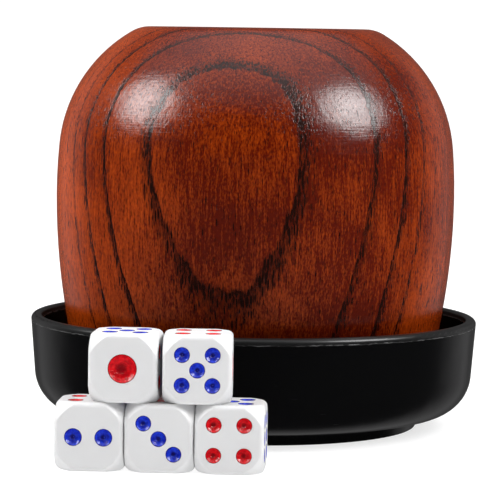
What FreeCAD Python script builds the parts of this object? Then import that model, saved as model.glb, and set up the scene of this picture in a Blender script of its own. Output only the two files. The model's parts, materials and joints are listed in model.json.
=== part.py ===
import FreeCAD, Part
import math
import os

import Sketcher

# A dice cup set: a turned wooden cup standing mouth down in a moulded tray, with five dice stacked in front.
# Frame: the origin is at the centre of the tray's foot, on the table. +Z is up and the dice are on the -Y side.
# Millimetres and degrees.

# ---------------------------------------------------------------- driving dimensions
DIMENSIONS = {
    # cup, with heights from its mouth's edge
    "cup_height": 83.3,
    "cup_belly_height": 45.7,        # the widest place
    "cup_shoulder_height": 56.8,     # where the belly's curve passes into the shoulder's
    "cup_belly_radius": 44.85,
    "cup_lower_arc": 154.0,          # curve of the side below the belly
    "cup_upper_arc": 122.0,          # and above it
    "cup_shoulder_arc": 33.0,
    "cup_crown_edge": 8.0,           # rounding where the shoulder meets the flat end
    "bore_mouth_radius": 32.2,
    "bore_wall_arc": 163.0,
    "bore_belly_height": 44.0,
    "bore_corner_arc": 20.0,
    "bore_depth": 74.3,
    "cup_mouth_edge": 1.5,
    # tray, with heights from the table
    "tray_rim_radius": 50.4,
    "tray_rim_height": 24.5,
    "tray_wall_draft": 4.5,
    "tray_lip_width": 2.4,
    "tray_outer_corner": 9.5,
    "tray_inner_corner": 6.0,
    "tray_cone_angle": 13.0,         # rise of the underside outside the foot
    "tray_foot_radius": 37.0,
    "tray_foot_width": 2.6,
    "tray_foot_height": 1.8,
    "tray_underside_height": 2.6,    # inside the foot ring
    "tray_floor_height": 5.0,
    "tray_lip_outer_edge": 1.1,
    "tray_lip_inner_edge": 0.5,
    "tray_foot_edge": 0.4,
    # felt pad
    "felt_radius": 39.5,
    "felt_thickness": 1.0,
    # die
    "die_side": 14.0,
    "die_edge": 1.0,                 # rounding of the twelve edges
    "die_corner_ball": 9.95,         # radius of the ball that trims the eight corners
    "pip_spread": 3.07,              # from a face's centre line to its outer pips
    "pip_radius": 1.6,
    "pip_depth": 0.8,
    "two_pip_radius": 1.8,
    "two_pip_depth": 0.9,
    "six_pip_spread": 3.45,
    "six_pip_radius": 1.5,
    "six_pip_depth": 0.75,
    "one_pip_radius": 2.95,
    "one_pip_depth": 1.15,
    "paint_thickness": 0.12,
    # the stack of dice
    "row_distance": 69.0,            # from the tray's axis back to the middle of the lower row
    "row_offset": 18.3,              # and to the left
    "row_turn": 3.5,                 # each turn brings the right-hand side forward
    "upper_left_turn": 5.0,
    "upper_right_turn": 0.5,
    "lower_gap": 0.15,               # between neighbours
    "upper_gap": 0.5,
}

doc = FreeCAD.newDocument("dice_cup_set")
sheet = doc.addObject("Spreadsheet::Sheet", "sizes")
for row, (alias, value) in enumerate(DIMENSIONS.items(), start=1):
    sheet.set(f"A{row}", alias.replace("_", " "))
    sheet.set(f"B{row}", str(value))
    sheet.setAlias(f"B{row}", alias)
doc.recompute()


def value_of(expression):
    """An expression's value, such as "sizes.die_side / 2", for a sketch's first shape."""
    return float(sheet.evalExpression(expression.replace("sizes.", "")))


# ---------------------------------------------------------------- sketches
ORIGIN = -1
H_AXIS = -1
V_AXIS = -2
START, END, CENTRE = 1, 2, 3


def new_body(label):
    body = doc.addObject("PartDesign::Body", label)
    body.Label = label
    return body


def new_sketch(body, name, role):
    """A sketch on one of its body's own origin planes."""
    sketch = body.newObject("Sketcher::SketchObject", name)
    plane = next(feature for feature in body.Origin.OriginFeatures if feature.Role == role)
    sketch.AttachmentSupport = [(plane, "")]
    sketch.MapMode = "FlatFace"
    return sketch


def bind(sketch, kind, places, expression):
    """Adds a dimension whose value comes from the sheet."""
    value = value_of(expression)
    datum = math.radians(value) if kind == "Angle" else value
    index = sketch.addConstraint(Sketcher.Constraint(kind, *places, datum))
    sketch.setExpression(f"Constraints[{index}]", expression)


def place_x(sketch, geometry, point, expression):
    bind(sketch, "DistanceX", (ORIGIN, START, geometry, point), expression)


def place_y(sketch, geometry, point, expression):
    bind(sketch, "DistanceY", (ORIGIN, START, geometry, point), expression)


def line(x1, y1, x2, y2):
    return Part.LineSegment(FreeCAD.Vector(x1, y1, 0), FreeCAD.Vector(x2, y2, 0))


def arc(centre_x, centre_y, radius, start, end):
    """An arc that runs anticlockwise from one angle to another."""
    circle = Part.Circle(FreeCAD.Vector(centre_x, centre_y, 0), FreeCAD.Vector(0, 0, 1), radius)
    return Part.ArcOfCircle(circle, math.radians(start), math.radians(end))


def close_outline(sketch, pieces, smooth=(), backward=()):
    """Draws pieces that follow each other round an outline, whose first and last points are on the axis.

    smooth lists the pieces that run into the next one tangentially, and backward the ones drawn end first."""
    for piece in pieces:
        sketch.addGeometry(piece, False)
    for i in range(len(pieces)):
        following = (i + 1) % len(pieces)
        kind = "Tangent" if i in smooth else "Coincident"
        leave = START if i in backward else END
        enter = END if following in backward else START
        sketch.addConstraint(Sketcher.Constraint(kind, i, leave, following, enter))
    axis_line = len(pieces) - 1
    sketch.addConstraint(Sketcher.Constraint("PointOnObject", axis_line, START, V_AXIS))
    sketch.addConstraint(Sketcher.Constraint("PointOnObject", axis_line, END, V_AXIS))


def level(sketch, *lines):
    for i in lines:
        sketch.addConstraint(Sketcher.Constraint("Horizontal", i))


def upright(sketch, *lines):
    for i in lines:
        sketch.addConstraint(Sketcher.Constraint("Vertical", i))


def revolve(body, kind, name, sketch):
    """Turns an outline about the vertical axis, to add or to cut."""
    feature = body.newObject(kind, name)
    feature.Profile = sketch
    feature.ReferenceAxis = (sketch, ["V_Axis"])
    feature.Angle = 360.0
    doc.recompute()
    return feature


def rings_at(feature, height):
    """The names of the round edges at a height, from the smallest to the largest."""
    rings = []
    for i, edge in enumerate(feature.Shape.Edges, start=1):
        if isinstance(edge.Curve, Part.Circle) and abs(edge.Curve.Center.z - height) < 0.001:
            rings.append((edge.Curve.Radius, f"Edge{i}"))
    return [name for _, name in sorted(rings)]


def fillet(body, name, base, edges, expression):
    feature = body.newObject("PartDesign::Fillet", name)
    feature.Base = (base, edges)
    feature.setExpression("Radius", expression)
    doc.recompute()
    return feature


# ---------------------------------------------------------------- cup
def cup_outline(body):
    """The outside: mouth, side below the belly, side above it, shoulder, flat end and axis."""
    belly = value_of("sizes.cup_belly_radius")
    belly_height = value_of("sizes.cup_belly_height")
    shoulder_height = value_of("sizes.cup_shoulder_height")
    height = value_of("sizes.cup_height")
    lower = value_of("sizes.cup_lower_arc")
    upper = value_of("sizes.cup_upper_arc")
    shoulder = value_of("sizes.cup_shoulder_arc")

    lower_angle = math.degrees(math.asin(belly_height / lower))
    upper_angle = math.degrees(math.asin((shoulder_height - belly_height) / upper))
    mouth = belly - lower + lower * math.cos(math.radians(lower_angle))
    shoulder_x = belly - upper + (upper - shoulder) * math.cos(math.radians(upper_angle))
    shoulder_y = belly_height + (upper - shoulder) * math.sin(math.radians(upper_angle))
    top_angle = math.degrees(math.asin((height - shoulder_y) / shoulder))
    crown = shoulder_x + shoulder * math.cos(math.radians(top_angle))

    sketch = new_sketch(body, "cup_outline", "XZ_Plane")
    close_outline(sketch, [
        line(0, 0, mouth, 0),
        arc(belly - lower, belly_height, lower, -lower_angle, 0),
        arc(belly - upper, belly_height, upper, 0, upper_angle),
        arc(shoulder_x, shoulder_y, shoulder, upper_angle, top_angle),
        line(crown, height, 0, height),
        line(0, height, 0, 0),
    ], smooth=(1, 2))
    level(sketch, 0, 4)
    place_y(sketch, 1, CENTRE, "sizes.cup_belly_height")
    place_y(sketch, 1, END, "sizes.cup_belly_height")
    place_x(sketch, 1, END, "sizes.cup_belly_radius")
    place_y(sketch, 2, END, "sizes.cup_shoulder_height")
    place_y(sketch, 4, END, "sizes.cup_height")
    sketch.addConstraint(Sketcher.Constraint("PointOnObject", 0, END, H_AXIS))
    bind(sketch, "Radius", (1,), "sizes.cup_lower_arc")
    bind(sketch, "Radius", (2,), "sizes.cup_upper_arc")
    bind(sketch, "Radius", (3,), "sizes.cup_shoulder_arc")
    return sketch


def bore_outline(body):
    """The hollow: mouth, side, rounded corner, flat end and axis."""
    mouth = value_of("sizes.bore_mouth_radius")
    wall = value_of("sizes.bore_wall_arc")
    belly_height = value_of("sizes.bore_belly_height")
    corner = value_of("sizes.bore_corner_arc")
    depth = value_of("sizes.bore_depth")

    mouth_angle = math.degrees(math.asin(belly_height / wall))
    centre_x = mouth - wall * math.cos(math.radians(mouth_angle))
    corner_y = depth - corner
    corner_angle = math.degrees(math.asin((corner_y - belly_height) / (wall - corner)))
    corner_x = centre_x + (wall - corner) * math.cos(math.radians(corner_angle))

    sketch = new_sketch(body, "bore_outline", "XZ_Plane")
    close_outline(sketch, [
        line(0, 0, mouth, 0),
        arc(centre_x, belly_height, wall, -mouth_angle, corner_angle),
        arc(corner_x, corner_y, corner, corner_angle, 90),
        line(corner_x, depth, 0, depth),
        line(0, depth, 0, 0),
    ], smooth=(1, 2))
    level(sketch, 3)
    sketch.addConstraint(Sketcher.Constraint("PointOnObject", 0, START, H_AXIS))
    sketch.addConstraint(Sketcher.Constraint("PointOnObject", 0, END, H_AXIS))
    place_x(sketch, 0, END, "sizes.bore_mouth_radius")
    place_y(sketch, 1, CENTRE, "sizes.bore_belly_height")
    place_y(sketch, 3, END, "sizes.bore_depth")
    bind(sketch, "Radius", (1,), "sizes.bore_wall_arc")
    bind(sketch, "Radius", (2,), "sizes.bore_corner_arc")
    return sketch


def make_cup():
    """The cup, turned from one block of wood, modelled mouth down on its own XY plane."""
    body = new_body("cup")
    block = revolve(body, "PartDesign::Revolution", "cup_block", cup_outline(body))
    bored = revolve(body, "PartDesign::Groove", "cup_bore", bore_outline(body))
    check_volume_falls(block, bored)
    crown_ring = rings_at(bored, value_of("sizes.cup_height"))
    crowned = fillet(body, "cup_crown", bored, crown_ring, "sizes.cup_crown_edge")
    fillet(body, "cup_mouth", crowned, rings_at(crowned, 0), "sizes.cup_mouth_edge")
    body.setExpression("Placement.Base.z", "sizes.tray_floor_height + sizes.felt_thickness")
    return body


# ---------------------------------------------------------------- tray and felt
def tray_outline(body):
    """The section: underside, foot ring, cone, outer corner, wall, lip, inner wall, inner corner and floor."""
    rim = value_of("sizes.tray_rim_radius")
    rim_height = value_of("sizes.tray_rim_height")
    lip = rim - value_of("sizes.tray_lip_width")
    draft = value_of("sizes.tray_wall_draft")
    outer = value_of("sizes.tray_outer_corner")
    inner = value_of("sizes.tray_inner_corner")
    cone = value_of("sizes.tray_cone_angle")
    foot = value_of("sizes.tray_foot_radius")
    foot_inside = foot - value_of("sizes.tray_foot_width")
    foot_height = value_of("sizes.tray_foot_height")
    underside = value_of("sizes.tray_underside_height")
    floor = value_of("sizes.tray_floor_height")

    # first places of the corners' centres, which the tangents then settle
    lean = math.tan(math.radians(draft))
    outer_y = foot_height + outer + 1
    outer_x = rim - (rim_height - outer_y) * lean - outer
    inner_y = floor + inner
    inner_x = lip - (rim_height - inner_y) * lean - inner

    sketch = new_sketch(body, "tray_outline", "XZ_Plane")
    close_outline(sketch, [
        line(0, underside, foot_inside, underside),
        line(foot_inside, underside, foot_inside, 0),
        line(foot_inside, 0, foot, 0),
        line(foot, 0, foot, foot_height),
        line(foot, foot_height, outer_x + 2, outer_y - outer),
        arc(outer_x, outer_y, outer, cone - 90, -draft),
        line(outer_x + outer, outer_y, rim, rim_height),
        line(rim, rim_height, lip, rim_height),
        line(lip, rim_height, inner_x + inner, inner_y),
        arc(inner_x, inner_y, inner, -90, -draft),
        line(inner_x, floor, 0, floor),
        line(0, floor, 0, underside),
    ], smooth=(4, 5, 8, 9), backward=(9,))
    level(sketch, 0, 2, 7, 10)
    upright(sketch, 1, 3)
    sketch.addConstraint(Sketcher.Constraint("PointOnObject", 2, END, H_AXIS))
    sketch.addConstraint(Sketcher.Constraint("Parallel", 6, 8))
    place_y(sketch, 0, END, "sizes.tray_underside_height")
    place_x(sketch, 2, END, "sizes.tray_foot_radius")
    place_x(sketch, 2, START, "sizes.tray_foot_radius - sizes.tray_foot_width")
    place_y(sketch, 3, END, "sizes.tray_foot_height")
    bind(sketch, "Angle", (4,), "sizes.tray_cone_angle")
    bind(sketch, "Angle", (6,), "90 - sizes.tray_wall_draft")
    place_x(sketch, 6, END, "sizes.tray_rim_radius")
    place_y(sketch, 6, END, "sizes.tray_rim_height")
    place_x(sketch, 7, END, "sizes.tray_rim_radius - sizes.tray_lip_width")
    place_y(sketch, 10, END, "sizes.tray_floor_height")
    bind(sketch, "Radius", (5,), "sizes.tray_outer_corner")
    bind(sketch, "Radius", (9,), "sizes.tray_inner_corner")
    return sketch


def make_tray():
    """The tray, one plastic moulding with a foot ring."""
    body = new_body("tray")
    moulding = revolve(body, "PartDesign::Revolution", "tray_moulding", tray_outline(body))
    rim_height = value_of("sizes.tray_rim_height")
    outer_lip = rings_at(moulding, rim_height)[-1:]
    lip = fillet(body, "tray_lip", moulding, outer_lip, "sizes.tray_lip_outer_edge")
    inner_lip = rings_at(lip, rim_height)[:1]
    rim = fillet(body, "tray_rim", lip, inner_lip, "sizes.tray_lip_inner_edge")
    fillet(body, "tray_foot", rim, rings_at(rim, 0), "sizes.tray_foot_edge")
    return body


def make_felt():
    """The felt disc on the tray's floor, which quiets the dice."""
    body = new_body("felt_pad")
    sketch = new_sketch(body, "felt_circle", "XY_Plane")
    circle = Part.Circle(FreeCAD.Vector(0, 0, 0), FreeCAD.Vector(0, 0, 1), value_of("sizes.felt_radius"))
    sketch.addGeometry(circle, False)
    sketch.addConstraint(Sketcher.Constraint("Coincident", 0, CENTRE, ORIGIN, START))
    bind(sketch, "Radius", (0,), "sizes.felt_radius")
    disc = body.newObject("PartDesign::Pad", "felt_disc")
    disc.Profile = sketch
    disc.setExpression("Length", "sizes.felt_thickness")
    body.setExpression("Placement.Base.z", "sizes.tray_floor_height")
    return body


# ---------------------------------------------------------------- one die, centred on the origin
# Each face: its outward direction, the pips' places along its two other axes (in X, Y, Z order), the kind of
# pip and the paint. Opposite faces add up to seven.
CORNERS = [(-1, -1), (-1, 1), (1, -1), (1, 1)]
FACES = {
    1: ((0, -1, 0), [(0, 0)], "one_pip", "red"),
    2: ((0, 0, -1), [(0, -1), (0, 1)], "two_pip", "blue"),
    3: ((-1, 0, 0), [(-1, 1), (0, 0), (1, -1)], "pip", "blue"),
    4: ((1, 0, 0), CORNERS, "pip", "red"),
    5: ((0, 0, 1), [*CORNERS, (0, 0)], "pip", "blue"),
    6: ((0, 1, 0), [(-1, -1), (-1, 0), (-1, 1), (1, -1), (1, 0), (1, 1)], "six_pip", "blue"),
}


def primitive(kind, name, **sizes):
    """One of Part's primitives, with its sizes taken from the sheet."""
    solid = doc.addObject(kind, name)
    for size, expression in sizes.items():
        solid.setExpression(size, expression)
    return solid


def boolean(kind, name, base, tool):
    solid = doc.addObject(kind, name)
    solid.Base = base
    solid.Tool = tool
    return solid


def compound(name, solids):
    group = doc.addObject("Part::Compound", name)
    group.Links = solids
    return group


def make_die_block():
    """A cube with rounded edges."""
    body = doc.addObject("PartDesign::Body", "die_block")
    half = value_of("sizes.die_side / 2")
    corners = [(-half, -half), (half, -half), (half, half), (-half, half)]
    sketch = new_sketch(body, "die_square", "XY_Plane")
    for i, (x, y) in enumerate(corners):
        sketch.addGeometry(line(x, y, *corners[(i + 1) % 4]), False)
    for i in range(4):
        sketch.addConstraint(Sketcher.Constraint("Coincident", i, END, (i + 1) % 4, START))
    level(sketch, 0, 2)
    upright(sketch, 1, 3)
    place_x(sketch, 0, START, "-sizes.die_side / 2")
    place_y(sketch, 0, START, "-sizes.die_side / 2")
    place_x(sketch, 2, START, "sizes.die_side / 2")
    place_y(sketch, 2, START, "sizes.die_side / 2")
    cube = body.newObject("PartDesign::Pad", "die_cube")
    cube.Profile = sketch
    cube.setExpression("Length", "sizes.die_side")
    cube.Midplane = True
    doc.recompute()
    edges = [f"Edge{i}" for i in range(1, len(cube.Shape.Edges) + 1)]
    fillet(body, "die_edges", cube, edges, "sizes.die_edge")
    return body


def pip_balls(name, paint, inset):
    """The balls whose caps below the faces are one paint's pips, made smaller by inset."""
    balls = []
    for number, (outward, places, kind, colour) in FACES.items():
        if colour != paint:
            continue
        radius, depth = f"sizes.{kind}_radius", f"sizes.{kind}_depth"
        ball_radius = f"({radius}^2 + {depth}^2) / (2 * {depth})"
        spread = "sizes.six_pip_spread" if kind == "six_pip" else "sizes.pip_spread"
        for pip, place in enumerate(places, start=1):
            ball = primitive("Part::Sphere", f"{name}_{number}_{pip}", Radius=f"{ball_radius} - {inset}")
            across = iter(place)
            for axis, direction in zip("xyz", outward):
                if direction:
                    along = f"{direction} * (sizes.die_side / 2 - {depth} + {ball_radius})"
                elif kind == "six_pip" and axis == "x":
                    along = f"{next(across)} * sizes.pip_spread"
                else:
                    along = f"{next(across)} * {spread}"
                ball.setExpression(f"Placement.Base.{axis}", along)
            balls.append(ball)
    return compound(name, balls)


def make_paint(colour, dimples, space):
    """The pieces of a paint's shape: the dimples below the faces, and the balls that hollow them."""
    filled = boolean("Part::Common", f"{colour}_filled", dimples, space)
    cores = pip_balls(f"{colour}_cores", colour, "sizes.paint_thickness")
    return filled, cores


# ---------------------------------------------------------------- the stack
# Each die: the numbers on its front and its top, its row, its place in the row in die widths from the row's
# middle, and its turn.
DICE = {
    "die_lower_left": (2, 4, "lower", -1, "row_turn"),
    "die_lower_middle": (3, 1, "lower", 0, "row_turn"),
    "die_lower_right": (4, 5, "lower", 1, "row_turn"),
    "die_upper_left": (1, 5, "upper", -0.5, "upper_left_turn"),
    "die_upper_right": (5, 4, "upper", 0.5, "upper_right_turn"),
}


def facing(front, top, turn):
    """The rotation that brings one number to the front and another to the top, then turns the die clockwise."""
    up = FreeCAD.Vector(*FACES[top][0])
    back = -FreeCAD.Vector(*FACES[front][0])
    right = back.cross(up)
    upright_die = FreeCAD.Rotation(right, back, up, "ZYX").inverted()
    return FreeCAD.Rotation(FreeCAD.Vector(0, 0, 1), -turn) * upright_die


def die_placement(front, top, row, place, turn):
    side = value_of("sizes.die_side")
    pitch = side + value_of(f"sizes.{row}_gap")
    angle = math.radians(value_of("sizes.row_turn"))
    along = FreeCAD.Vector(math.cos(angle), -math.sin(angle), 0)
    middle = FreeCAD.Vector(-value_of("sizes.row_offset"), -value_of("sizes.row_distance"), side / 2)
    if row == "upper":
        middle.z += side
    return FreeCAD.Placement(middle + along * (place * pitch), facing(front, top, value_of(f"sizes.{turn}")))


def make_dice():
    """Five dice: on each, the block with its dimples, and the paint in them as two groups of thin caps."""
    ball = primitive("Part::Sphere", "die_ball", Radius="sizes.die_corner_ball")
    solid = boolean("Part::Common", "die_solid", make_die_block(), ball)
    space = primitive(
        "Part::Box", "die_space",
        Length="sizes.die_side", Width="sizes.die_side", Height="sizes.die_side",
        **{f"Placement.Base.{axis}": "-sizes.die_side / 2" for axis in "xyz"},
    )
    dimples = {colour: pip_balls(f"{colour}_dimples", colour, "0") for colour in ("red", "blue")}
    all_dimples = compound("all_dimples", list(dimples.values()))
    paints = {colour: make_paint(colour, dimples[colour], space) for colour in dimples}

    dice = []
    for label, (front, top, row, place, turn) in DICE.items():
        pieces = [boolean("Part::Cut", label, solid, all_dimples)]
        for colour, (filled, cores) in paints.items():
            pieces.append(boolean("Part::Cut", f"{label}_{colour}_pips", filled, cores))
        for piece in pieces:
            piece.Label = piece.Name
            piece.Placement = die_placement(front, top, row, place, turn)
        dice.extend(pieces)
    return dice


# ---------------------------------------------------------------- build, check and write
def check_volume_falls(before, after):
    assert after.Shape.Volume < before.Shape.Volume - 1, f"{after.Name} cuts nothing"


def check_document(subparts):
    for feature in doc.Objects:
        bad = {"Invalid", "Error"} & set(feature.State)
        assert not bad, f"{feature.Name} is {bad}"
    for subpart in subparts:
        shape = subpart.Shape
        assert not shape.isNull() and shape.isValid(), f"{subpart.Label} has no valid shape"


subparts = [make_cup(), make_tray(), make_felt(), *make_dice()]
doc.recompute()
check_document(subparts)
os.makedirs("parts", exist_ok=True)
for subpart in subparts:
    subpart.Shape.exportStep(f"parts/{subpart.Label}.step")
    print(f"{subpart.Label}: {len(subpart.Shape.Solids)} solids, {subpart.Shape.Volume:.2f} mm3")
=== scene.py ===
import json
import math

import bpy
from mathutils import Matrix, Vector

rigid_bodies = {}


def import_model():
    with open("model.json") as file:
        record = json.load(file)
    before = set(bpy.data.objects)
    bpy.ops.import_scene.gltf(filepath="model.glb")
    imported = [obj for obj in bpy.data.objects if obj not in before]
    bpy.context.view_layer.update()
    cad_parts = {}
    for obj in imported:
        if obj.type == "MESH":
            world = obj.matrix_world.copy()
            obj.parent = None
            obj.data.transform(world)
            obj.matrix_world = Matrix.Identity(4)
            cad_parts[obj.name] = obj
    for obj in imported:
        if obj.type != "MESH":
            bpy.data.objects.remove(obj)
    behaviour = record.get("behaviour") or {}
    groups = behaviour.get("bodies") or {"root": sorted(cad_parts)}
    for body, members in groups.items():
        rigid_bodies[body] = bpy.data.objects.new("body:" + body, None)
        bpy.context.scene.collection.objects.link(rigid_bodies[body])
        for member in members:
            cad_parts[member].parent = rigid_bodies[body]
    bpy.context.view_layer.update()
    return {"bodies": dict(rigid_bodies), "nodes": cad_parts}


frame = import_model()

# The looks of a dice cup set: a lacquered wooden cup in a black moulded tray, with five white dice.
# Metres, in the frame of the CAD model: +Z up, the dice on the -Y side.

DICE = [name for name in frame["bodies"] if name.startswith("die_")]
MM = 1000.0   # the materials work in millimetres


# ---------------------------------------------------------------- camera
CAMERA_DISTANCE = 0.632
CAMERA_HEIGHT = 0.0906
CAMERA_ROLL = 0.85             # degrees: the picture's right-hand side hangs this much low
AIM = Vector((-0.00105, 0.0, 0.0391))
SENSOR_WIDTH = 36.0            # millimetres, like the focal length
FOCAL_LENGTH = 201.6


def make_camera():
    data = bpy.data.cameras.new("camera")
    data.sensor_width = SENSOR_WIDTH
    data.lens = FOCAL_LENGTH
    data.clip_end = 50.0
    camera = bpy.data.objects.new("camera", data)
    bpy.context.scene.collection.objects.link(camera)
    camera.location = (0.0, -CAMERA_DISTANCE, CAMERA_HEIGHT)
    look = (AIM - camera.location).to_track_quat("-Z", "Y").to_matrix().to_4x4()
    roll = Matrix.Rotation(math.radians(CAMERA_ROLL), 4, "Z")
    camera.matrix_world = Matrix.Translation(camera.location) @ look @ roll
    bpy.context.scene.camera = camera


# ---------------------------------------------------------------- light and floor
CUP_MIDDLE = Vector((0.0, 0.0, 0.07))    # what every light points at
SOFTBOX_DISTANCE = 0.62
SOFTBOX_SIZE = (0.40, 0.33)
SPARKLE_SIZE = (0.15, 0.13)
SIDE_DISTANCE = 1.0
SIDE_SIZE = (0.6, 0.4)
SIDE_WATTS = 3.0
CEILING_HEIGHT = 2.6
CEILING_SIZE = (4.0, 4.0)
CEILING_WATTS = 20.0


def direction(azimuth, elevation):
    """A unit vector: azimuth 0 is the front, positive to the right, in degrees."""
    a, e = math.radians(azimuth), math.radians(elevation)
    return Vector((math.sin(a) * math.cos(e), -math.cos(a) * math.cos(e), math.sin(e)))


def soft_light(name, azimuth, elevation, distance, size, watts, shape="ELLIPSE"):
    """A pane of light that faces the cup from a direction."""
    data = bpy.data.lights.new(name, "AREA")
    data.shape = shape
    data.size = size[0]
    data.size_y = size[1]
    data.energy = watts
    light = bpy.data.objects.new(name, data)
    bpy.context.scene.collection.objects.link(light)
    light.location = CUP_MIDDLE + direction(azimuth, elevation) * distance
    light.rotation_euler = (CUP_MIDDLE - light.location).to_track_quat("-Z", "Y").to_euler()
    return light


def softbox(name, azimuth, elevation, watts, sparkle):
    """A large pane that lights the object, and a brighter middle that shows only as a highlight."""
    soft_light(f"{name}_pane", azimuth, elevation, SOFTBOX_DISTANCE, SOFTBOX_SIZE, watts)
    middle = soft_light(f"{name}_middle", azimuth, elevation, SOFTBOX_DISTANCE, SPARKLE_SIZE, sparkle)
    middle.visible_diffuse = False


def fill_light(name, azimuth, elevation, distance, size, watts):
    """A square-cornered pane that lights the object without showing in it."""
    light = soft_light(name, azimuth, elevation, distance, size, watts, shape="RECTANGLE")
    light.visible_glossy = False


def make_lights():
    softbox("softbox_left", -78, 34, watts=2.25, sparkle=2.4)
    softbox("softbox_right", 65, 35, watts=2.6, sparkle=3.6)
    fill_light("ceiling", 180, 80, CEILING_HEIGHT, CEILING_SIZE, CEILING_WATTS)
    fill_light("side_left", -95, 50, SIDE_DISTANCE, SIDE_SIZE, SIDE_WATTS)
    fill_light("side_right", 95, 50, SIDE_DISTANCE, SIDE_SIZE, SIDE_WATTS)


# how bright the room is in each direction
ROOM_FRONT = 0.015
ROOM_BACK = 0.08
ROOM_STRIPS = 0.19        # on both sides, a little behind the object
ROOM_ABOVE = 1.15


def make_world():
    """A dim room: dark in front, with a pale strip behind on either side and a pale ceiling."""
    world = bpy.data.worlds.new("room")
    bpy.context.scene.world = world
    world.use_nodes = True
    m = Nodes(tree=world.node_tree)
    background = world.node_tree.nodes["Background"]
    where = m.node("ShaderNodeTexCoord").outputs["Generated"]
    _, back, up = m.split(where)
    light = m.ramp(back, 0.0, 0.9, ROOM_FRONT, ROOM_BACK)
    strips = m.math("MULTIPLY", m.ramp(back, 0.30, 0.62), m.ramp(back, 0.78, 0.92, 1.0, 0.0))
    strips = m.math("MULTIPLY", strips, m.ramp(up, 0.2, 0.6, ROOM_STRIPS, 0.0))
    light = m.math("ADD", light, strips)
    light = m.math("ADD", light, m.slope(up, 0.62, 1.0, 0.0, ROOM_ABOVE))
    m.feed(background.inputs["Strength"], light)
    background.inputs["Color"].default_value = (1.0, 0.99, 1.0, 1.0)


FLOOR_REACH = 6.0
BACKDROP_RADIUS = 1.5
BACKDROP_STEPS = 24
FLOOR_GREY = (0.38, 0.38, 0.38, 1.0)
FLOOR_GLOW = 0.76         # with the lights on it, enough for the floor to show white
FLOOR_GLOW_FAR = 0.9
GLOW_STARTS = 0.08        # metres from the tray's axis
GLOW_ENDS = 0.5


def floor_material():
    """Matt grey with a glow: it shows white, but lights the object less than a white floor would."""
    m = Nodes("floor_white")
    m.set(base=FLOOR_GREY, roughness=0.9)
    m.shader.inputs["Specular IOR Level"].default_value = 0.0
    m.shader.inputs["Emission Color"].default_value = (1.0, 1.0, 1.0, 1.0)
    away = m.vector("MULTIPLY", m.node("ShaderNodeTexCoord").outputs["Object"], (1.0, 1.0, 0.0))
    reach = m.node("ShaderNodeVectorMath", {0: away}, operation="LENGTH").outputs["Value"]
    glow = m.ramp(reach, GLOW_STARTS, GLOW_ENDS, FLOOR_GLOW, FLOOR_GLOW_FAR)
    m.feed(m.shader.inputs["Emission Strength"], glow)
    return m.material


def make_floor():
    """A pale floor that curves up into a backdrop, far behind the object."""
    outline = [(-FLOOR_REACH, 0.0), (FLOOR_REACH - BACKDROP_RADIUS, 0.0)]
    for i in range(1, BACKDROP_STEPS + 1):
        angle = math.pi / 2 * i / BACKDROP_STEPS
        y = FLOOR_REACH - BACKDROP_RADIUS * (1 - math.sin(angle))
        z = BACKDROP_RADIUS * (1 - math.cos(angle))
        outline.append((y, z))
    outline.append((FLOOR_REACH, 2 * BACKDROP_RADIUS))
    points = [(x, y, z) for y, z in outline for x in (-FLOOR_REACH, FLOOR_REACH)]
    faces = [(2 * i, 2 * i + 1, 2 * i + 3, 2 * i + 2) for i in range(len(outline) - 1)]
    mesh = bpy.data.meshes.new("floor")
    mesh.from_pydata(points, [], faces)
    floor = bpy.data.objects.new("floor", mesh)
    bpy.context.scene.collection.objects.link(floor)
    floor.visible_glossy = False
    floor.data.materials.append(floor_material())


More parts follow.
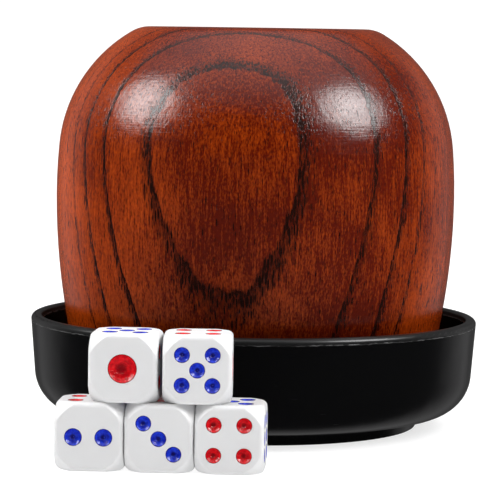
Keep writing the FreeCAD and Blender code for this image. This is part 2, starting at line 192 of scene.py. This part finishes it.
# ---------------------------------------------------------------- materials
class Nodes:
    """A material, or another node tree, with short ways to add and join its nodes."""

    def __init__(self, name="", tree=None):
        if tree is None:
            self.material = bpy.data.materials.new(name)
            self.material.use_nodes = True
            tree = self.material.node_tree
            self.shader = tree.nodes["Principled BSDF"]
        self.tree = tree

    def node(self, kind, inputs=None, **settings):
        """Adds a node: inputs maps a socket's name or number to a number or another node's output."""
        node = self.tree.nodes.new(kind)
        for name, value in settings.items():
            setattr(node, name, value)
        for socket, value in (inputs or {}).items():
            self.feed(node.inputs[socket], value)
        return node

    def feed(self, socket, value):
        if isinstance(value, bpy.types.NodeSocket):
            self.tree.links.new(value, socket)
        else:
            socket.default_value = value

    def set(self, base=None, roughness=None):
        if base is not None:
            self.feed(self.shader.inputs["Base Color"], base)
        if roughness is not None:
            self.feed(self.shader.inputs["Roughness"], roughness)

    def math(self, operation, a, b=0.0, c=0.0, clamp=False):
        node = self.node("ShaderNodeMath", {0: a, 1: b, 2: c}, operation=operation)
        node.use_clamp = clamp
        return node.outputs[0]

    def vector(self, operation, a, b=(0.0, 0.0, 0.0)):
        return self.node("ShaderNodeVectorMath", {0: a, 1: b}, operation=operation).outputs["Vector"]

    def scale(self, vector, amount):
        node = self.node("ShaderNodeVectorMath", {0: vector}, operation="SCALE")
        self.feed(node.inputs["Scale"], amount)
        return node.outputs["Vector"]

    def split(self, vector):
        """A vector's three parts."""
        return self.node("ShaderNodeSeparateXYZ", {0: vector}).outputs[:]

    def place(self):
        """The point on the object, in millimetres."""
        where = self.node("ShaderNodeTexCoord").outputs["Object"]
        return self.scale(where, MM)

    def noise(self, vector, scale, detail=2.0, roughness=0.5, output="Fac"):
        inputs = {"Vector": vector, "Scale": scale, "Detail": detail, "Roughness": roughness}
        return self.node("ShaderNodeTexNoise", inputs).outputs[output]

    def slope(self, value, low, high, to_low=0.0, to_high=1.0, kind="LINEAR"):
        """A straight slope between two values, level outside them."""
        inputs = {"Value": value, "From Min": low, "From Max": high, "To Min": to_low, "To Max": to_high}
        return self.node("ShaderNodeMapRange", inputs, interpolation_type=kind).outputs[0]

    def ramp(self, value, low, high, to_low=0.0, to_high=1.0):
        """A smooth step between two values."""
        return self.slope(value, low, high, to_low, to_high, kind="SMOOTHSTEP")

    def mix(self, amount, a, b, blend="MIX"):
        node = self.node("ShaderNodeMix", data_type="RGBA", blend_type=blend)
        self.feed(node.inputs[0], amount)
        self.feed(node.inputs[6], a)
        self.feed(node.inputs[7], b)
        return node.outputs[2]

    def bump(self, height, strength=1.0, normal=None):
        """Relief from a height in millimetres."""
        inputs = {"Height": height, "Distance": 1.0 / MM, "Strength": strength}
        if normal is not None:
            inputs["Normal"] = normal
        return self.node("ShaderNodeBump", inputs).outputs[0]


# growth rings: sheets that bow towards the front, given by their depth behind the foremost one
RING_SPACING = 2.72
RING_MIDDLE = 50.0        # the height that the sheets bow about
RING_FRONT = -44.42       # y of the foremost sheet, at x = 0 and that height
RING_LEAN_X = -0.044
RING_LEAN_Z = 0.0155
RING_BOW_X = 0.00833
RING_BOW_Z = 0.00274
RING_FLARE = 0.0000417    # how much more the sheets bow sideways higher up
SHOULDER_BOW = 0.0134     # and backwards above the shoulder
SHOULDER_START = 13.0     # above that height
FAR_RINGS = 36.0          # the depth where the rings are strong again
SIDE_LIGHT_AND_SHADE = -0.0035  # painted light and shade: the wood lightens towards -X and darkens towards +X
GREY = (0.5, 0.5, 0.5)    # the middle value of a noise's colour

# relief, in millimetres
PORE_DEPTH = 0.022
TURNING_DEPTH = 0.028
PEEL_DEPTH = 0.046
WAVE_DEPTH = 0.10

WOOD_ORANGE = (0.52, 0.068, 0.0030, 1.0)
WOOD_RED = (0.085, 0.0048, 0.0003, 1.0)
WOOD_DARK = (0.042, 0.0040, 0.0008, 1.0)
WOOD_PORE = (0.013, 0.0024, 0.0010, 1.0)


def ring_depth(m, place):
    """How far a point lies behind the foremost growth ring, in millimetres."""
    x, y, z = m.split(place)
    height = m.math("SUBTRACT", z, RING_MIDDLE)
    over = m.math("MAXIMUM", m.math("SUBTRACT", height, SHOULDER_START), 0.0)
    sideways = m.math("MULTIPLY_ADD", height, RING_FLARE, RING_BOW_X)
    sheet = m.math("MULTIPLY", x, RING_LEAN_X)
    sheet = m.math("MULTIPLY_ADD", height, RING_LEAN_Z, sheet)
    sheet = m.math("MULTIPLY_ADD", m.math("MULTIPLY", x, x), sideways, sheet)
    sheet = m.math("MULTIPLY_ADD", m.math("MULTIPLY", height, height), RING_BOW_Z, sheet)
    sheet = m.math("MULTIPLY_ADD", m.math("MULTIPLY", over, over), SHOULDER_BOW, sheet)
    return m.math("SUBTRACT", m.math("SUBTRACT", y, sheet), RING_FRONT)


def pores(m, place, cell, length, low, high, crowd):
    """Dark dashes along the fibres: narrow cells, some of them open, more of them where it is crowded."""
    cell_place = m.vector("MULTIPLY", place, (1.0 / cell, 1.0 / cell, 1.0 / length))
    texture = m.node("ShaderNodeTexVoronoi", {"Vector": cell_place, "Scale": 1.0})
    luck = m.node("ShaderNodeSeparateColor", {0: texture.outputs["Color"]}).outputs[0]
    reach = m.math("ADD", m.math("MULTIPLY_ADD", luck, high - low, low), crowd)
    inside = m.math("SUBTRACT", reach, texture.outputs["Distance"])
    return m.ramp(inside, -0.06, 0.10)


def wood_material():
    """Ring-porous wood cut by the turned surface, stained red-brown, under a clear gloss lacquer."""
    m = Nodes("lacquered_wood")
    place = m.place()

    # the fibres wander a little, and so do the rings
    slow = m.vector("SUBTRACT", m.noise(place, 0.05, detail=1.0, output="Color"), GREY)
    fibre_place = m.vector("MULTIPLY", place, (1.0, 1.0, 0.10))
    fine = m.vector("SUBTRACT", m.noise(fibre_place, 0.55, detail=3.0, output="Color"), GREY)
    wander = m.vector("ADD", m.scale(slow, 0.15), m.scale(fine, 0.22))
    depth = ring_depth(m, m.vector("ADD", place, wander))
    growth = m.math("DIVIDE", depth, RING_SPACING)
    season = m.math("FRACT", growth)
    year = m.math("FLOOR", growth)
    vigour = m.node("ShaderNodeTexWhiteNoise", {"W": year}, noise_dimensions="1D").outputs["Value"]

    # early wood: starts at a sharp edge and fades out, soonest in the first ring
    narrower = m.ramp(growth, 0.9, 1.0, 0.11, 0.0)
    early_ends = m.math("MULTIPLY_ADD", vigour, 0.12, m.math("SUBTRACT", 0.30, narrower))
    fade = m.ramp(season, 0.02, early_ends, 1.0, 0.0)
    near = m.ramp(depth, 1.8 * RING_SPACING, 5 * RING_SPACING, 1.0, 0.32)
    far = m.ramp(depth, FAR_RINGS, FAR_RINGS + 5 * RING_SPACING, 0.0, 0.9)
    strength = m.math("MAXIMUM", near, far)
    strength = m.math("MULTIPLY", strength, m.ramp(m.noise(place, 0.09), 0.35, 0.6, 0.82, 1.0))
    early = m.math("MULTIPLY", m.ramp(season, 0.0, 0.03), m.math("MULTIPLY", fade, strength))
    crowd = m.math("MULTIPLY", early, 0.40)
    bent = m.vector("ADD", place, m.scale(fine, 0.8))
    large = pores(m, bent, 0.50, 3.0, 0.00, 0.35, crowd)
    small = pores(m, bent, 0.27, 1.5, 0.02, 0.42, crowd)
    pore = m.math("MAXIMUM", m.math("MULTIPLY", large, 0.9), m.math("MULTIPLY", small, 0.6))
    pore = m.math("MULTIPLY", pore, m.math("MULTIPLY_ADD", early, 0.4, 0.75))

    # colour: streaked along the fibres, clouded, and lighter in the wood behind the first rings
    streak_place = m.vector("MULTIPLY", place, (1.0, 1.0, 0.05))
    streaks = m.math("SUBTRACT", m.noise(streak_place, 2.3, detail=4.0, roughness=0.62), 0.5)
    clouds = m.math("SUBTRACT", m.noise(place, 0.05, detail=2.0), 0.5)
    fleck_place = m.vector("MULTIPLY", place, (1.0, 1.0, 0.4))
    flecks = m.math("SUBTRACT", m.noise(fleck_place, 3.4, detail=2.0), 0.5)
    outward = m.ramp(depth, 3.0, 14.0, 0.13, 0.50)
    lightness = m.math("MULTIPLY_ADD", streaks, 1.2, outward)
    lightness = m.math("MULTIPLY_ADD", clouds, 0.9, lightness)
    # painted light on the -X side and painted shade on the +X side
    lightness = m.math("MULTIPLY_ADD", m.split(place)[0], SIDE_LIGHT_AND_SHADE, lightness)
    lightness = m.math("MULTIPLY_ADD", flecks, 0.9, lightness, clamp=True)
    colour = m.mix(lightness, WOOD_RED, WOOD_ORANGE)
    core = m.math("POWER", early, 2.4)
    broken = m.math("MULTIPLY_ADD", flecks, 2.0, m.math("MULTIPLY_ADD", streaks, 2.4, 0.78))
    band = m.math("MULTIPLY", core, broken, clamp=True)
    colour = m.mix(band, colour, WOOD_DARK)
    colour = m.mix(pore, colour, WOOD_PORE)
    m.set(base=colour, roughness=0.5)

    # relief of the lacquer: sunken pores, turning marks across the fibres, and an uneven brush coat
    turning_place = m.vector("MULTIPLY", place, (0.05, 0.05, 1.0))
    turning = m.noise(turning_place, 3.0, detail=4.0)
    peel = m.noise(m.vector("MULTIPLY", place, (1.0, 1.0, 0.5)), 1.1, detail=2.0)
    waves = m.noise(place, 0.22, detail=1.0)
    relief = m.math("MULTIPLY", pore, -PORE_DEPTH)
    relief = m.math("MULTIPLY_ADD", turning, TURNING_DEPTH, relief)
    relief = m.math("MULTIPLY_ADD", peel, PEEL_DEPTH, relief)
    relief = m.math("MULTIPLY_ADD", waves, WAVE_DEPTH, relief)
    lacquer = m.bump(relief)
    m.feed(m.shader.inputs["Normal"], lacquer)
    m.feed(m.shader.inputs["Coat Normal"], lacquer)
    m.shader.inputs["Coat Weight"].default_value = 1.0
    m.shader.inputs["Coat Roughness"].default_value = 0.19
    m.shader.inputs["Coat IOR"].default_value = 1.5
    m.shader.inputs["Specular IOR Level"].default_value = 0.0
    return m.material


LIP_LINE_HEIGHT = 23.1    # where the tray's mould parted, just below the lip


def black_plastic_material():
    """Glossy black moulding: faint flow marks, fine scratches, a parting line below the lip with a painted
    highlight along it, and painted sheen on the lip.
    """
    m = Nodes("black_plastic")
    place = m.place()
    height = m.split(place)[2]
    flow = m.noise(place, 0.06, detail=2.0)
    speckle = m.noise(place, 3.0, detail=2.0)
    scratch_place = m.vector("MULTIPLY", place, (0.25, 0.25, 4.0))
    scratches = m.ramp(m.noise(scratch_place, 1.2, detail=3.0), 0.66, 0.74)

    jitter = m.math("SUBTRACT", m.noise(place, 0.9, detail=3.0), 0.5)
    above_line = m.math("SUBTRACT", height, LIP_LINE_HEIGHT)
    off_line = m.math("ABSOLUTE", m.math("MULTIPLY_ADD", jitter, 0.5, above_line))
    broken = m.ramp(m.noise(place, 0.35, detail=4.0, roughness=0.7), 0.40, 0.62, 0.15, 1.0)
    line = m.math("MULTIPLY", m.ramp(off_line, 0.02, 0.16, 1.0, 0.0), broken)
    lip = m.ramp(height, LIP_LINE_HEIGHT, LIP_LINE_HEIGHT + 0.3)

    black = m.mix(speckle, (0.0018, 0.0018, 0.0020, 1.0), (0.0034, 0.0034, 0.0036, 1.0))
    # painted sheen: the lip is coloured a lighter grey
    black = m.mix(m.math("MULTIPLY", lip, 0.5), black, (0.016, 0.016, 0.016, 1.0))
    # painted highlight: the parting line is coloured a lighter grey, besides its roughness and relief
    m.set(base=m.mix(m.math("MULTIPLY", line, 0.8), black, (0.11, 0.11, 0.11, 1.0)))
    roughness = m.math("MULTIPLY_ADD", scratches, 0.10, m.math("MULTIPLY_ADD", flow, 0.12, 0.10))
    roughness = m.math("MULTIPLY_ADD", lip, 0.14, roughness)
    m.set(roughness=m.math("MULTIPLY_ADD", line, 0.3, roughness))
    relief = m.math("MULTIPLY_ADD", flow, 0.25, m.math("MULTIPLY", scratches, -0.003))
    m.feed(m.shader.inputs["Normal"], m.bump(m.math("MULTIPLY_ADD", line, 0.06, relief)))
    m.shader.inputs["Specular IOR Level"].default_value = 0.32
    return m.material


def felt_material():
    """Short black felt: matt, with uneven tufts and a pale bloom at grazing angles."""
    m = Nodes("felt")
    place = m.place()
    fibres = m.noise(place, 2.2, detail=6.0, roughness=0.7)
    tufts = m.node("ShaderNodeTexVoronoi", {"Vector": place, "Scale": 1.6}).outputs["Distance"]
    m.set(base=m.mix(fibres, (0.006, 0.006, 0.007, 1.0), (0.035, 0.035, 0.038, 1.0)), roughness=0.95)
    relief = m.math("MULTIPLY_ADD", tufts, 0.12, m.math("MULTIPLY", fibres, 0.35))
    m.feed(m.shader.inputs["Normal"], m.bump(relief))
    m.shader.inputs["Specular IOR Level"].default_value = 0.1
    m.shader.inputs["Sheen Weight"].default_value = 0.35
    m.shader.inputs["Sheen Roughness"].default_value = 0.4
    return m.material


EDGE_SOFTNESS = 0.0007    # metres: how far the tumbling wore the edges between a die's surfaces
TUMBLED_STRENGTH = 0.008  # how much shows of a relief one millimetre deep

# the third colour of each paint is painted shade for the bottom of a dimple
PIP_RED_THIN = (0.80, 0.004, 0.010, 1.0)
PIP_RED_THICK = (0.50, 0.001, 0.006, 1.0)
PIP_RED_SHADED = (0.22, 0.0, 0.004, 1.0)
PIP_BLUE_THIN = (0.014, 0.050, 0.70, 1.0)
PIP_BLUE_THICK = (0.005, 0.012, 0.40, 1.0)
PIP_BLUE_SHADED = (0.004, 0.001, 0.10, 1.0)


def die_material():
    """Dense white plastic, tumbled to a soft gloss."""
    m = Nodes("die_white")
    place = m.place()
    clouds = m.noise(place, 0.25, detail=3.0)
    tumbled = m.noise(place, 1.1, detail=4.0, roughness=0.6)
    m.set(base=m.mix(clouds, (0.755, 0.755, 0.76, 1.0), (0.795, 0.795, 0.80, 1.0)),
          roughness=m.ramp(tumbled, 0.3, 0.7, 0.32, 0.42))
    worn = m.node("ShaderNodeBevel", {"Radius": EDGE_SOFTNESS}, samples=6).outputs[0]
    m.feed(m.shader.inputs["Normal"], m.bump(tumbled, strength=TUMBLED_STRENGTH, normal=worn))
    m.shader.inputs["Specular IOR Level"].default_value = 0.35
    m.shader.inputs["Subsurface Weight"].default_value = 0.12
    m.shader.inputs["Subsurface Radius"].default_value = (0.0012, 0.0011, 0.0010)
    m.shader.inputs["Subsurface Scale"].default_value = 1.0
    return m.material


def paint_material(name, thin, thick, shaded_bottom):
    """Glossy paint, brushed unevenly into the dimples; the bottom of each is darkened as painted shade and
    sunk a little in relief.
    """
    m = Nodes(name)
    place = m.place()
    uneven = m.noise(place, 1.3, detail=3.0)
    grit = m.noise(place, 4.0, detail=2.0)
    facing = m.vector("ABSOLUTE", m.node("ShaderNodeTexCoord").outputs["Normal"])
    x, y, z = m.split(facing)
    squareness = m.math("MAXIMUM", m.math("MAXIMUM", x, y), z)
    squareness = m.math("MULTIPLY_ADD", m.math("SUBTRACT", grit, 0.5), 0.03, squareness)
    # painted shade: the bottom of each dimple, where the surface faces straight out, is darkened
    bottom = m.ramp(squareness, 0.945, 0.995)
    colour = m.mix(m.ramp(uneven, 0.3, 0.7), thin, thick)
    m.set(base=m.mix(m.math("MULTIPLY", bottom, 0.85), colour, shaded_bottom),
          roughness=m.ramp(grit, 0.3, 0.7, 0.10, 0.24))
    relief = m.math("MULTIPLY_ADD", grit, 0.03, m.math("MULTIPLY", uneven, 0.20))
    relief = m.math("MULTIPLY_ADD", bottom, -0.10, relief)
    m.feed(m.shader.inputs["Normal"], m.bump(relief))
    return m.material


def give(node, material):
    """Gives a CAD node its material."""
    obj = frame["nodes"][node]
    for i in range(len(obj.material_slots)):
        obj.material_slots[i].material = material
    if not obj.material_slots:
        obj.data.materials.append(material)


def make_materials():
    give("cup", wood_material())
    give("tray", black_plastic_material())
    give("felt_pad", felt_material())
    white = die_material()
    red = paint_material("pip_red", PIP_RED_THIN, PIP_RED_THICK, PIP_RED_SHADED)
    blue = paint_material("pip_blue", PIP_BLUE_THIN, PIP_BLUE_THICK, PIP_BLUE_SHADED)
    for die in DICE:
        for node, material in ((die, white), (f"{die}_red_pips", red), (f"{die}_blue_pips", blue)):
            give(node, material)
            frame["nodes"][node].visible_glossy = False   # the dice leave no mirror image in the lacquer


# ---------------------------------------------------------------- the scene
make_camera()
make_world()
make_lights()
make_floor()
make_materials()
bpy.context.scene.view_settings.view_transform = "Standard"
